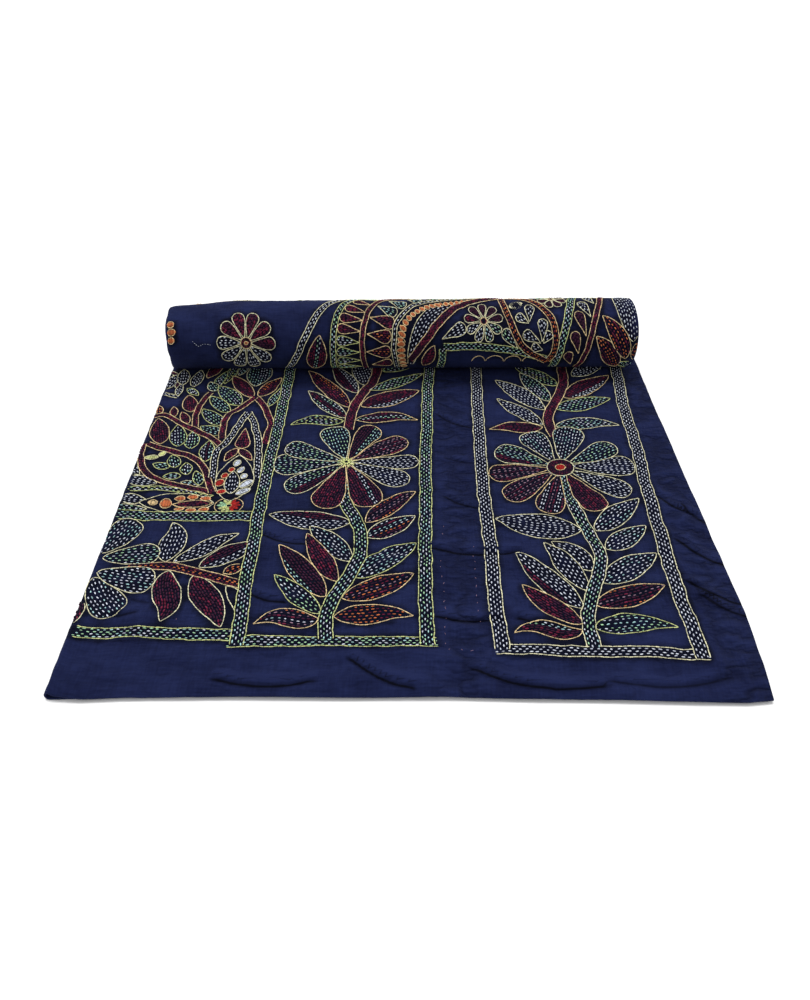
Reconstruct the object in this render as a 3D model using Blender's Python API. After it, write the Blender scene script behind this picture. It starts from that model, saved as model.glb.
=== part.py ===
# A kantha quilt: one stitched sheet of cloth, folded in half along its length and
# rolled up from its far end, with its near end left flat as an apron.
# Metres, +Z up. X runs along the roll, and the apron's front hem faces -Y.
# The origin is on the floor, under the middle of the whole bundle.

import math

import bmesh
import bpy
import numpy as np

# Driving dimensions of the cloth
QUILT_WIDTH = 1.524
QUILT_LENGTH = 2.286
CLOTH = 0.0018  # top cloth, backing and stitching together
HALVES_GAP = 0.0006  # between the two halves of the fold
TURN_GAP = 0.00125  # between one turn of the roll and the next

# Driving dimensions of the way it lies
APRON = 0.639  # front hem to the middle of the roll's foot
ROLL_RADIUS = 0.0545  # the outermost turn, to the middle of the folded cloth
FOOT_HEIGHT = 0.955  # height of the roll's centre, as a share of its radius
FOOT_SHARPNESS = 24  # how abruptly the roll's round side turns into its flat foot
ROLL_INSET_LEFT = 0.0075  # the roll is shorter than the apron is wide, at each end
ROLL_INSET_RIGHT = 0.0285
INSET_LENGTH = 0.14  # cloth over which the edges draw in, from the roll's foot on
TAPER = 0.060  # the roll is this much thinner at its left end
TAPER_LENGTH = 0.13
FLARE = 0.030  # and this much thicker at its right end than at its left
SKEW = 0.006  # its right end also lies this much further back
END_WANDER = 0.0030  # how far the edges of the turns stand out past one another
LOWER_SIDE_REACH = 0.003  # the upper half reaches this far past the lower one at the right
LOWER_HEM_REACH = 0.003  # and this far past it in front
PEEP = 0.002  # but by the fold the lower half reaches this far past the upper one
PEEP_LENGTH = 0.09

# The front hem's bow. At a distance from the left fold, it reaches this far forwards
FRONT_LINE = (
    (0.000, 0.0015), (0.010, 0.0048), (0.038, 0.0065), (0.080, 0.0032),
    (0.200, 0.0018), (0.320, 0.0028), (0.420, 0.0018), (0.500, 0.0040),
    (0.600, 0.0055), (0.680, 0.0080), (0.735, 0.0091), (0.762, 0.0065),
)
FRONT_LINE_FADE = 0.25  # the bow is gone this far behind the hem

# The right hem's bow. At s behind the front hem, it reaches this far to the right
SIDE_LINE = (
    (0.000, -0.0015), (0.012, 0.0000), (0.045, 0.0028), (0.110, 0.0052),
    (0.200, 0.0028), (0.320, 0.0000), (0.460, -0.0033), (0.550, -0.0058),
    (0.639, -0.0060),
)

# Worked out from them
HALF = QUILT_WIDTH / 2
PITCH = 2 * CLOTH + HALVES_GAP + TURN_GAP
HALVES_APART = CLOTH + HALVES_GAP  # middle of one half to middle of the other
MIDDLE = CLOTH / 2 + HALVES_APART / 2  # height of the folded cloth's middle
SIDE_REACH = max(reach for _, reach in SIDE_LINE)
HEM_REACH = max(reach for _, reach in FRONT_LINE)
LEFT_EDGE = -(HALF + SIDE_REACH - CLOTH / 2) / 2
RIGHT_EDGE = LEFT_EDGE + HALF
OUTER_FACE = HALVES_APART / 2 + CLOTH / 2
BACK_REACH = (ROLL_RADIUS - PITCH / 4) * (1 + FLARE) + OUTER_FACE + SKEW / 2
FRONT_HEM = -(APRON + BACK_REACH - HEM_REACH) / 2
ROLL_Y = FRONT_HEM + APRON

# The left fold is plump in front and is pressed flat by the roll behind
PUFF_HEIGHT = 0.0045
PUFF_WIDTH = 0.022
PUFF_LENGTH = 0.30

# How finely the sheet is cut up
FOLD_ARC = 0.005  # cloth on each side of the left fold's ridge that is bent round
FOLD_STEPS = 2
COLUMNS = (0.07, 0.14, 0.45)  # distances from the left fold, between fold and hem
APRON_COLUMN = 0.033  # widest column on the apron's upper half
APRON_ROWS = 28
FIRST_TURN_STEPS = 24
LATER_TURN_STEPS = 12
SPIRAL_SAMPLES = 12000
MOST_TURNS = 12

# Folds and creases of the apron's upper half. They run from (x, s) to (x, s), where
# x is the distance right of the left fold and s the distance behind the front hem.
# columns: name, x from, s from, x to, s to, half width, height
CREASES = (
    ("first storage fold", 0.060, 0.110, 0.750, 0.103, 0.016, 0.0022),
    ("second storage fold", 0.120, 0.228, 0.600, 0.208, 0.016, 0.0024),
    ("third storage fold", 0.330, 0.340, 0.745, 0.296, 0.018, 0.0018),
    ("ripple behind the hem", 0.150, 0.020, 0.330, 0.022, 0.014, 0.0020),
    ("slanting ripple at the hem", 0.310, 0.050, 0.410, 0.012, 0.014, 0.0024),
    ("long ripple at the hem", 0.440, 0.034, 0.640, 0.016, 0.014, 0.0020),
    ("fold off the right hem", 0.715, 0.228, 0.770, 0.176, 0.014, 0.0026),
    ("second fold off the right hem", 0.700, 0.306, 0.765, 0.252, 0.014, 0.0022),
    ("third fold off the right hem", 0.712, 0.156, 0.772, 0.120, 0.012, 0.0022),
    ("fold between the panels", 0.425, 0.490, 0.490, 0.452, 0.016, 0.0024),
    ("rise under the left panel", 0.190, 0.420, 0.330, 0.500, 0.040, 0.0014),
    ("rise under the corner field", 0.060, 0.380, 0.130, 0.480, 0.035, 0.0014),
)
RELIEF_ENDS = 0.060  # the folds die away over this much cloth in front of the roll


def ease(value):
    """0 below 0, 1 above 1, and a smooth step between."""
    value = np.clip(value, 0, 1)
    return value * value * (3 - 2 * value)


def roll_radius(turned):
    """Radius of the folded cloth's middle after turning this far up from the foot."""
    wound = ROLL_RADIUS - PITCH * turned / (2 * math.pi)
    down = np.maximum(np.cos(turned), 0) / FOOT_HEIGHT
    return wound * (1 + down**FOOT_SHARPNESS) ** (-1 / FOOT_SHARPNESS)


def spiral_table():
    """Angles turned, and the length of cloth wound up by each of them."""
    turned = np.linspace(0, MOST_TURNS * 2 * math.pi, SPIRAL_SAMPLES)
    turned = turned[roll_radius(turned) > PITCH]
    radius = roll_radius(turned)
    y, z = radius * np.sin(turned), -radius * np.cos(turned)
    steps = np.hypot(np.diff(y), np.diff(z))
    return turned, np.concatenate([[0], np.cumsum(steps)])


TURNED, WOUND = spiral_table()


def edges(s, turned):
    """Where the left fold and the right hem are, s behind the front hem."""
    drawn_in = ease((s - APRON) / INSET_LENGTH)
    wander = END_WANDER * drawn_in
    left = LEFT_EDGE + ROLL_INSET_LEFT * drawn_in + wander * np.sin(1.7 * turned + 0.6)
    bow = np.interp(s, *zip(*SIDE_LINE)) * (1 - drawn_in)
    right = RIGHT_EDGE - ROLL_INSET_RIGHT * drawn_in + wander * np.sin(1.3 * turned + 2)
    return left, right + bow


def hem_reach(u, bend):
    """How far the front hem of each half reaches forwards, u from the left fold."""
    past_fold = ease(np.abs(u) / PEEP_LENGTH)
    tucked = np.where(u > 0, PEEP * (1 - past_fold) * np.sin(np.abs(bend)), 0)
    tucked = tucked + np.where(u > 0, 0, LOWER_HEM_REACH * past_fold)
    return np.interp(np.abs(u), *zip(*FRONT_LINE)) - tucked


def relief(x, s):
    """Height that the folds and creases add to the apron's upper half."""
    height = np.zeros_like(x)
    for _, x0, s0, x1, s1, half_width, tall in CREASES:
        run = math.hypot(x1 - x0, s1 - s0)
        along = ((x - x0) * (x1 - x0) + (s - s0) * (s1 - s0)) / run
        across = ((x - x0) * (s1 - s0) - (s - s0) * (x1 - x0)) / run
        ends = ease(along / half_width + 1) * ease((run - along) / half_width + 1)
        height = height + tall * ends * np.exp(-((across / half_width) ** 2))
    return height


def lift(x, s):
    """How far the upper half stands clear of the lower one, at x from the left fold."""
    puff = PUFF_HEIGHT * np.exp(-x / PUFF_WIDTH) * np.exp(-s / PUFF_LENGTH)
    return (puff + relief(x, s)) * (1 - ease((s - APRON) / RELIEF_ENDS + 1))


def lay(u, s):
    """Where the flat quilt's points are once it is folded and rolled.

    u is the distance from the left fold, positive on the upper half and negative on
    the lower one. s is the distance from the front hem."""
    turned = np.interp(s - APRON, WOUND, TURNED)
    left, right = edges(s, turned)
    upper = u > 0
    past_fold = np.clip((np.abs(u) - FOLD_ARC) / (HALF - FOLD_ARC), 0, 1)

    rise_at_fold = lift(np.zeros_like(s), s)
    fold_radius = HALVES_APART / 2 + rise_at_fold / 2
    bend = np.clip(u / FOLD_ARC, -1, 1) * math.pi / 2
    right = right - np.where(upper, 0, LOWER_SIDE_REACH) * (1 - ease(s / APRON))
    x_flat = left + fold_radius + past_fold * (right - left - fold_radius)
    x = x_flat - fold_radius * np.cos(bend)

    raised = np.where(upper, lift(x_flat - left, s), 0)
    flat_part = np.where(upper, HALVES_APART / 2 + raised, -HALVES_APART / 2)
    fold_part = rise_at_fold / 2 + fold_radius * np.sin(bend)
    off_middle = np.where(np.abs(u) < FOLD_ARC, fold_part, flat_part)

    across = (x - left) / (right - left)
    skewed = SKEW * (across - 0.5)
    forward = hem_reach(u, bend) * (1 - ease(s / FRONT_LINE_FADE))
    apron_y = FRONT_HEM + s - forward + skewed * ease(s / APRON)
    apron_z = MIDDLE + off_middle

    width = 1 + FLARE * across - TAPER * ease(1 - (x - left) / TAPER_LENGTH)
    radius = roll_radius(turned) * width - off_middle
    centre_z = MIDDLE + roll_radius(0) * width
    roll_y = ROLL_Y + skewed + radius * np.sin(turned)
    roll_z = centre_z - radius * np.cos(turned)

    rolled = s > APRON
    y = np.where(rolled, roll_y, apron_y)
    z = np.where(rolled, roll_z, apron_z)
    return np.column_stack([x, y, z])


def column_places():
    """Distances from the fold of the flat sheet's columns, lower hem to upper hem."""
    bent = [FOLD_ARC * step / FOLD_STEPS for step in range(1, FOLD_STEPS + 1)]
    upper = [*bent, *COLUMNS, HALF]
    return [-u for u in reversed(upper)] + [0.0] + upper


def row_places():
    """Distances from the front hem of the flat sheet's rows."""
    rows = [APRON * row / APRON_ROWS for row in range(APRON_ROWS + 1)]
    turned = 0.0
    while True:
        steps = FIRST_TURN_STEPS if turned < 2 * math.pi - 0.01 else LATER_TURN_STEPS
        turned += 2 * math.pi / steps
        s = APRON + float(np.interp(turned, TURNED, WOUND))
        if s >= QUILT_LENGTH - 0.005:
            return rows + [QUILT_LENGTH]
        rows.append(s)


def flat_sheet():
    """The quilt before folding, with finer columns on the half that faces up."""
    columns, rows = column_places(), row_places()
    sheet = bmesh.new()
    bmesh.ops.create_grid(
        sheet, x_segments=len(columns) - 1, y_segments=len(rows) - 1, size=0.5
    )
    for vertex in sheet.verts:
        column = round((vertex.co.x + 0.5) * (len(columns) - 1))
        row = round((vertex.co.y + 0.5) * (len(rows) - 1))
        vertex.co = (columns[column], rows[row], 0)

    places = [FOLD_ARC, *COLUMNS, HALF]
    last_fine_row = rows[APRON_ROWS - 1]
    for start, end in zip(places, places[1:]):
        cuts = math.ceil((end - start) / APRON_COLUMN) - 1
        middle = (start + end) / 2
        across = [
            edge
            for edge in sheet.edges
            if abs((edge.verts[0].co.x + edge.verts[1].co.x) / 2 - middle) < 0.001
            and edge.verts[0].co.y <= last_fine_row + 0.001
            and edge.verts[1].co.y <= last_fine_row + 0.001
        ]
        bmesh.ops.subdivide_edges(sheet, edges=across, cuts=cuts, use_grid_fill=True)
    return sheet


def cotton():
    """Indigo-dyed cotton, matt."""
    material = bpy.data.materials.new("indigo_cotton")
    material.use_nodes = True
    shader = material.node_tree.nodes["Principled BSDF"]
    shader.inputs["Base Color"].default_value = (0.013, 0.016, 0.060, 1)
    shader.inputs["Roughness"].default_value = 0.85
    shader.inputs["Metallic"].default_value = 0.0
    return material


def build_quilt():
    sheet = flat_sheet()
    flat = np.array([vertex.co[:] for vertex in sheet.verts])
    for vertex, place in zip(sheet.verts, lay(flat[:, 0], flat[:, 1])):
        vertex.co = place
    uneven = [face for face in sheet.faces if len(face.verts) > 4]
    bmesh.ops.triangulate(sheet, faces=uneven)
    bmesh.ops.recalc_face_normals(sheet, faces=sheet.faces)

    mesh = bpy.data.meshes.new("quilt")
    sheet.to_mesh(mesh)
    sheet.free()
    mesh.shade_smooth()
    quilt = bpy.data.objects.new("quilt", mesh)
    bpy.context.scene.collection.objects.link(quilt)
    mesh.materials.append(cotton())

    thickness = quilt.modifiers.new("cloth thickness", "SOLIDIFY")
    thickness.thickness = CLOTH
    thickness.offset = 0
    thickness.use_even_offset = True


for leftover in list(bpy.data.objects):
    bpy.data.objects.remove(leftover)
build_quilt()
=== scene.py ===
# The looks of a kantha quilt: the folded and rolled cloth, and every stitch sewn through it.
import math

import bmesh
import bpy
import numpy as np
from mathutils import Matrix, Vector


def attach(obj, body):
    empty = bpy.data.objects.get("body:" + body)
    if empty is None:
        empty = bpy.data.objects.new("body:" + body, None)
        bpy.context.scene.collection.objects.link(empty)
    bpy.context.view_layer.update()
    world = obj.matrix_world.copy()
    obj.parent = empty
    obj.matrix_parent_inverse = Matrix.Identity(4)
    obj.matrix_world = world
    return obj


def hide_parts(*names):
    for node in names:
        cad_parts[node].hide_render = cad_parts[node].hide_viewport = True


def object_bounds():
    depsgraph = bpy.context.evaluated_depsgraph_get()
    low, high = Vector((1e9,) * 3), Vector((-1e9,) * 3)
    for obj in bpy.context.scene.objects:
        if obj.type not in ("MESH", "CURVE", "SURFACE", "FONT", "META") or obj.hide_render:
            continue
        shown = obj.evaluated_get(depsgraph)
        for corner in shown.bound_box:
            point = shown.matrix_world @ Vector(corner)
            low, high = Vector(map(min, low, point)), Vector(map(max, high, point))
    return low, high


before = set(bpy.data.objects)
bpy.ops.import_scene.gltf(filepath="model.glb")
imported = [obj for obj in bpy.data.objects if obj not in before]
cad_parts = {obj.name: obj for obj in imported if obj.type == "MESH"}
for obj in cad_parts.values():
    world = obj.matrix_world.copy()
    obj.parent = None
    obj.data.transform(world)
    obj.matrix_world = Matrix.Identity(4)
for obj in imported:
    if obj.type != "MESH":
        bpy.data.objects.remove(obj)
cadBox = [list(corner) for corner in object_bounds()]
mm = 0.001

# How the cloth lies. Metres, with the same folds as the solid it stands for
clothLay = {
    "width": 1.524, "length": 2.286,  # the cut cloth, before folding
    "cloth": 0.0018, "halvesGap": 0.0006, "turnGap": 0.00125,
    "apron": 0.639, "rollRadius": 0.0545, "footHeight": 0.955, "footSharpness": 24,
    "insetLeft": 0.0075, "insetRight": 0.0285, "insetLength": 0.14,
    "taper": 0.060, "taperLength": 0.13, "flare": 0.030, "skew": 0.006,
    "endWander": 0.0030, "leftRounding": 0.030, "rightRounding": 0.015, "roundingLength": 0.008,
    "lowerHemReach": 0.003, "lowerSideReach": 0.003, "peep": 0.002, "peepLength": 0.09,
    "frontLine": (  # how far the front hem reaches forwards, by distance from the left fold
        (0, 0.0015), (0.010, 0.0048), (0.038, 0.0065), (0.080, 0.0032), (0.200, 0.0018), (0.320, 0.0028),
        (0.420, 0.0018), (0.500, 0.0040), (0.600, 0.0055), (0.680, 0.0080), (0.735, 0.0091), (0.762, 0.0065),
    ),
    "frontLineFade": 0.25,
    "sideLine": (  # how far the right hem reaches out, by distance from the front
        (0, -0.0015), (0.012, 0), (0.045, 0.0028), (0.110, 0.0052), (0.200, 0.0028), (0.320, 0),
        (0.460, -0.0033), (0.550, -0.0058), (0.639, -0.0060),
    ),
    "puffHeight": 0.0045, "puffWidth": 0.022, "puffLength": 0.30,
    "foldArc": 0.005, "rollFade": 0.060, "mostTurns": 12, "spiralSteps": 12000,
    "outerTurnStart": 0.66, "outerTurnEnd": 0.99, "outerTurnFades": (0.05, 0.03),  # the turn that shows
    "leftWaves": (1.7, 0.6), "rightWaves": (1.3, 2),
    "hemWobble": 0.0003, "wobbleLength": 0.05, "sideWobble": (0.9, 10), "frontWobbleReach": 0.03,
}
half = clothLay["width"] / 2
pitch = 2 * clothLay["cloth"] + clothLay["halvesGap"] + clothLay["turnGap"]
halvesApart = clothLay["cloth"] + clothLay["halvesGap"]
middle = clothLay["cloth"] / 2 + halvesApart / 2
leftEdge = -(half + max(reach for _, reach in clothLay["sideLine"]) - clothLay["cloth"] / 2) / 2
frontHem = cadBox[0][1] + max(reach for _, reach in clothLay["frontLine"])
rollY = frontHem + clothLay["apron"]

# Soft folds of the apron: from a, s to a, s, half width, height, all in mm. a is the
# distance from the left fold and s the distance behind the front hem
softFolds = (
    (60, 110, 750, 103, 16, 2.2), (120, 228, 600, 208, 16, 2.4),
    (330, 340, 745, 296, 18, 1.8), (150, 20, 330, 22, 14, 2.0),
    (310, 50, 410, 12, 14, 2.4), (440, 34, 640, 16, 14, 2.0),
    (715, 228, 770, 176, 14, 2.6), (700, 306, 765, 252, 14, 2.2),
    (712, 156, 772, 120, 12, 2.2), (425, 490, 490, 452, 16, 2.4),
    (190, 420, 330, 500, 40, 1.4), (60, 380, 130, 480, 35, 1.4),
)
# Sharp little creases, pressed in: from a, s to a, s, half width, depth
sharpCreases = (
    (196, 238, 256, 219, 3.4, 1.5), (192, 141, 236, 127, 3.2, 1.7),
    (412, 212, 514, 207, 3.6, 2.0), (410, 106, 480, 102, 3.6, 2.0),
    (318, 44, 384, 10, 3.6, 1.9), (176, 20, 276, 18, 3.4, 1.6),
    (30, 107, 66, 111, 3.0, 1.2), (428, 488, 482, 452, 3.2, 1.3),
    (432, 304, 470, 284, 3.0, 1.3), (450, 32, 585, 14, 3.4, 1.6),
    (714, 304, 748, 274, 4.6, 1.6), (718, 223, 768, 180, 5.0, 1.9),
    (742, 287, 766, 251, 4.2, 1.4), (712, 157, 770, 122, 4.6, 1.8),
    (722, 136, 767, 106, 4.2, 1.4), (505, 104, 640, 96, 3.4, 1.5),
    (300, 214, 392, 210, 3.0, 1.0), (60, 131, 110, 127, 3.0, 0.9),
    (596, 21, 720, 30, 3.2, 1.1), (438, 388, 478, 376, 3.0, 1.0),
)
# Uneven ripples: height, wavelength, seed, and how closely they keep to one direction
apronRipples = ((0.00080, 0.060, 3, 1.6), (0.00045, 0.021, 4, 1.4), (0.00022, 0.0115, 5, 1.2))
rollRipples = ((0.00040, 0.055, 11, 2), (0.00022, 0.016, 12, 1))
relief = {
    "creaseBow": 0.08, "creaseEnds": 3, "creaseDepth": 1.5,
    "ridgeShare": 0.75, "ridgeOff": 2.2, "ridgeWidth": 1.7,
    "lift": 0.0016, "calmAtHem": 0.8, "sideHem": (0.965, 0.035), "frontHem": 0.012,
}


def ease(value):
    value = np.clip(value, 0, 1)
    return value * value * (3 - 2 * value)


def bell(value):
    return np.exp(-value**2)


def runAlong(path):  # how far along a path each of its points is
    return np.concatenate([[0], np.cumsum(np.hypot(*np.diff(path, axis=0).T))])


def rollRadius(turned):
    wound = clothLay["rollRadius"] - pitch * turned / (2 * math.pi)
    down = np.maximum(np.cos(turned), 0) / clothLay["footHeight"]
    sharpness = clothLay["footSharpness"]
    return wound * (1 + down**sharpness) ** (-1 / sharpness)


def spiralTable():
    turned = np.linspace(0, 2 * math.pi * clothLay["mostTurns"], clothLay["spiralSteps"])
    turned = turned[rollRadius(turned) > pitch]
    radius = rollRadius(turned)
    return turned, runAlong(np.column_stack([radius * np.sin(turned), -radius * np.cos(turned)]))


spiralTurned, spiralWound = spiralTable()


def ripples(a, s, wavelength, seed, across=1.0):  # uneven ripples, about -1 to 1
    draw, count = np.random.default_rng(seed), 14
    height = np.zeros_like(a)
    for _ in range(count):
        angle = draw.normal(math.pi / 2, 0.9 / across)
        wave = 2 * math.pi / (wavelength * draw.uniform(0.7, 1.5))
        along = a * math.cos(angle) + s * math.sin(angle)
        height += np.sin(along * wave + draw.uniform(0, 6.3))
    return height / math.sqrt(count)


def rippleSum(a, s, table):
    return sum(height * ripples(a, s, *rest) for height, *rest in table)


def alongCrease(a, s, crease):  # share of the crease that acts here, and the distance off its line
    a0, s0, a1, s1, halfWidth = (value * mm for value in crease[:5])
    run = math.hypot(a1 - a0, s1 - s0)
    along = ((a - a0) * (a1 - a0) + (s - s0) * (s1 - s0)) / run
    off = ((a - a0) * (s1 - s0) - (s - s0) * (a1 - a0)) / run
    bow = relief["creaseBow"] * run * np.sin(math.pi * np.clip(along / run, 0, 1))
    fade = relief["creaseEnds"] * halfWidth
    return ease(along / fade + 1) * ease((run - along) / fade + 1), (off - bow) / halfWidth


def apronRelief(a, s):
    height = np.zeros_like(a)
    for fold in softFolds:
        ends, off = alongCrease(a, s, fold)
        height += fold[5] * mm * ends * bell(off)
    for crease in sharpCreases:
        ends, off = alongCrease(a, s, crease)
        ridge = relief["ridgeShare"] * bell((off + relief["ridgeOff"]) / relief["ridgeWidth"])
        height -= relief["creaseDepth"] * crease[5] * mm * ends * (bell(off) - ridge)
    height += rippleSum(a, s, apronRipples)
    sideHem, sideFade = relief["sideHem"]
    nearHem = np.maximum(ease((a / half - sideHem) / sideFade), 1 - ease(s / relief["frontHem"]))
    return (height + relief["lift"]) * (1 - relief["calmAtHem"] * nearHem)


def clothEdges(s, turned):
    drawnIn = ease((s - clothLay["apron"]) / clothLay["insetLength"])
    leftWander, rightWander = (
        clothLay["endWander"] * drawnIn * np.sin(waves * turned + start)
        for waves, start in (clothLay["leftWaves"], clothLay["rightWaves"])
    )
    left = leftEdge + clothLay["insetLeft"] * drawnIn + leftWander
    right = leftEdge + half - clothLay["insetRight"] * drawnIn + rightWander
    return left, right + np.interp(s, *zip(*clothLay["sideLine"])) * (1 - drawnIn)


def hemReach(u, bend):  # how far the front hem of each half reaches forwards
    pastFold = ease(np.abs(u) / clothLay["peepLength"])
    tucked = np.where(u > 0, clothLay["peep"] * (1 - pastFold) * np.sin(np.abs(bend)), 0)
    tucked = tucked + np.where(u > 0, 0, clothLay["lowerHemReach"] * pastFold)
    return np.interp(np.abs(u), *zip(*clothLay["frontLine"])) - tucked


def clothLift(a, s):  # how far the upper half stands clear of the lower one
    puff = clothLay["puffHeight"] * np.exp(-a / clothLay["puffWidth"]) * np.exp(-s / clothLay["puffLength"])
    fade = 1 - ease((s - clothLay["apron"]) / clothLay["rollFade"] + 1)
    return (puff + apronRelief(a, s)) * fade


def layCloth(u, s):
    # u runs from the left fold, above 0 on the upper half and below 0 on the lower one
    turned = np.interp(s - clothLay["apron"], spiralWound, spiralTurned)
    left, right = clothEdges(s, turned)
    upper, a, foldArc = u > 0, np.abs(u), clothLay["foldArc"]
    pastFold = np.clip((a - foldArc) / (half - foldArc), 0, 1)
    towardsHem = 1 - ease(s / clothLay["apron"])

    riseAtFold = clothLift(np.zeros_like(s), s)
    foldRadius = halvesApart / 2 + riseAtFold / 2
    bend = np.clip(u / foldArc, -1, 1) * math.pi / 2
    right = right - np.where(upper, 0, clothLay["lowerSideReach"]) * towardsHem
    wobble, wobbleLength = clothLay["hemWobble"], clothLay["wobbleLength"]
    sideStart, sideRise = clothLay["sideWobble"]
    hemWobble = wobble * ripples(np.zeros_like(s), s, wobbleLength, 8)
    hemWobble = hemWobble * ease((a / half - sideStart) * sideRise)
    flatX = left + foldRadius + pastFold * (right + hemWobble - left - foldRadius)
    x = flatX - foldRadius * np.cos(bend)

    fadeIn, fadeOut = clothLay["outerTurnFades"]
    turnStart, turnEnd = clothLay["outerTurnStart"], clothLay["outerTurnEnd"]
    outerTurn = ease((s - turnStart) / fadeIn) * ease((turnEnd - s) / fadeOut)
    raised = np.where(upper, clothLift(flatX - left, s), -rippleSum(a, s, rollRipples) * outerTurn)
    flatPart = np.where(upper, halvesApart / 2 + raised, -halvesApart / 2 + raised)
    foldPart = riseAtFold / 2 + foldRadius * np.sin(bend)
    offMiddle = np.where(a < foldArc, foldPart, flatPart)

    across = (x - left) / (right - left)
    skewed = clothLay["skew"] * (across - 0.5)
    frontWobble = wobble * ripples(a, np.zeros_like(a), wobbleLength, 9, 9)
    frontWobble = frontWobble * np.exp(-s / clothLay["frontWobbleReach"])
    forward = hemReach(u, bend) * (1 - ease(s / clothLay["frontLineFade"]))
    apronY = frontHem + s - forward + skewed * (1 - towardsHem) + frontWobble
    apronZ = middle + offMiddle

    width = 1 + clothLay["flare"] * across
    width -= clothLay["taper"] * ease(1 - (x - left) / clothLay["taperLength"])
    width -= clothLay["leftRounding"] * np.exp((left - x) / clothLay["roundingLength"])
    width -= clothLay["rightRounding"] * np.exp((x - right) / clothLay["roundingLength"])
    radius = rollRadius(turned) * width - offMiddle
    centreZ = middle + rollRadius(0) * width
    y = np.where(s > clothLay["apron"], rollY + skewed + radius * np.sin(turned), apronY)
    z = np.where(s > clothLay["apron"], centreZ - radius * np.cos(turned), apronZ)
    return np.stack([x, y, z], -1)


# The cloth as one mesh: a flat grid, finer where it shows, then laid in its folds
clothMesh = {
    "thickness": 0.0015, "hemThickness": 0.0021, "hemWidth": 0.008,
    "apronRow": 0.0034, "outerRow": 0.0052, "innerSteps": 24,
    "coarseColumn": 0.062, "fineCuts": 9, "marginCuts": 17, "marginStart": 0.68, "hemRounding": 0.0006,
    "upperEnd": 0.645, "lowerStart": 0.60, "lastRowClear": 0.002,
}


def clothRows():
    apron, length = clothLay["apron"], clothLay["length"]
    count = round((apron - clothMesh["hemWidth"]) / clothMesh["apronRow"])
    rows = [0.0] + list(np.linspace(clothMesh["hemWidth"], apron, count + 1))
    firstTurn = float(np.interp(2 * math.pi, spiralTurned, spiralWound))
    count = round(firstTurn / clothMesh["outerRow"])
    rows += [apron + firstTurn * step / count for step in range(1, count + 1)]
    turned = 2 * math.pi
    while True:
        turned += 2 * math.pi / clothMesh["innerSteps"]
        s = apron + float(np.interp(turned, spiralTurned, spiralWound))
        if s > length - clothMesh["hemWidth"] - clothMesh["lastRowClear"]:
            return np.array(rows + [length - clothMesh["hemWidth"], length])
        rows.append(s)


def coarseColumns():
    bent = [clothLay["foldArc"] * step / 3 for step in (1, 2, 3)]
    count = round((half - clothMesh["hemWidth"] - clothLay["foldArc"]) / clothMesh["coarseColumn"])
    flat = list(np.linspace(clothLay["foldArc"], half - clothMesh["hemWidth"], count + 1))[1:]
    return bent, flat


def cutsFrom(start):  # the margin by the right hem is the most crumpled
    return clothMesh["marginCuts" if start > clothMesh["marginStart"] else "fineCuts"]


def fineColumns():
    bent, flat = coarseColumns()
    upper = list(bent)
    for start, end in zip([bent[-1]] + flat, flat):
        upper += list(np.linspace(start, end, cutsFrom(start) + 2)[1:])
    upper.append(half)
    return np.array([-u for u in reversed(upper)] + [0.0] + upper)


sheetRows, sheetColumns = clothRows(), fineColumns()


def clothSurface(u, s):  # a point of the laid cloth's mesh, and the way its outer face looks
    column = np.clip(np.searchsorted(sheetColumns, u) - 1, 0, len(sheetColumns) - 2)
    row = np.clip(np.searchsorted(sheetRows, s) - 1, 0, len(sheetRows) - 2)
    u0, u1, s0, s1 = sheetColumns[column], sheetColumns[column + 1], sheetRows[row], sheetRows[row + 1]
    p00, p10, p01, p11 = layCloth(u0, s0), layCloth(u1, s0), layCloth(u0, s1), layCloth(u1, s1)
    alongU, alongS = ((u - u0) / (u1 - u0))[:, None], ((s - s0) / (s1 - s0))[:, None]
    near, far = p00 + (p10 - p00) * alongU, p01 + (p11 - p01) * alongU
    overU = (p10 - p00) * (1 - alongS) + (p11 - p01) * alongS
    outwards = np.cross(overU, far - near)
    outwards /= np.linalg.norm(outwards, axis=1)[:, None]
    return near + (far - near) * alongS, outwards


def addObject(name, data):
    thing = bpy.data.objects.new(name, data)
    bpy.context.scene.collection.objects.link(thing)
    return thing


def flatSheet():  # the cut cloth, with more columns where it shows
    bent, flat = coarseColumns()
    upper = bent + flat + [half]
    columns = [-u for u in reversed(upper)] + [0.0] + upper
    sheet = bmesh.new()
    bmesh.ops.create_grid(sheet, x_segments=len(columns) - 1, y_segments=len(sheetRows) - 1, size=0.5)
    for vertex in sheet.verts:
        column = round((vertex.co.x + 0.5) * (len(columns) - 1))
        row = round((vertex.co.y + 0.5) * (len(sheetRows) - 1))
        vertex.co = (columns[column], sheetRows[row], 0)
    outerEnd = sheetRows[np.searchsorted(sheetRows, clothLay["outerTurnEnd"])]
    spans = [bent[-1]] + flat
    for start, end in zip(spans, spans[1:]):
        centre = (start + end) / 2
        cut = []
        for edge in sheet.edges:
            one, two = edge.verts[0].co, edge.verts[1].co
            if abs(one.y - two.y) > 1e-6:
                continue
            place = (one.x + two.x) / 2
            onUpper = abs(place - centre) < 0.001 and one.y < clothMesh["upperEnd"]
            onLower = abs(place + centre) < 0.001 and clothMesh["lowerStart"] < one.y < outerEnd
            if onUpper or onLower:
                cut.append(edge)
        bmesh.ops.subdivide_edges(sheet, edges=cut, cuts=cutsFrom(start), use_grid_fill=True)
    return sheet


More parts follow.
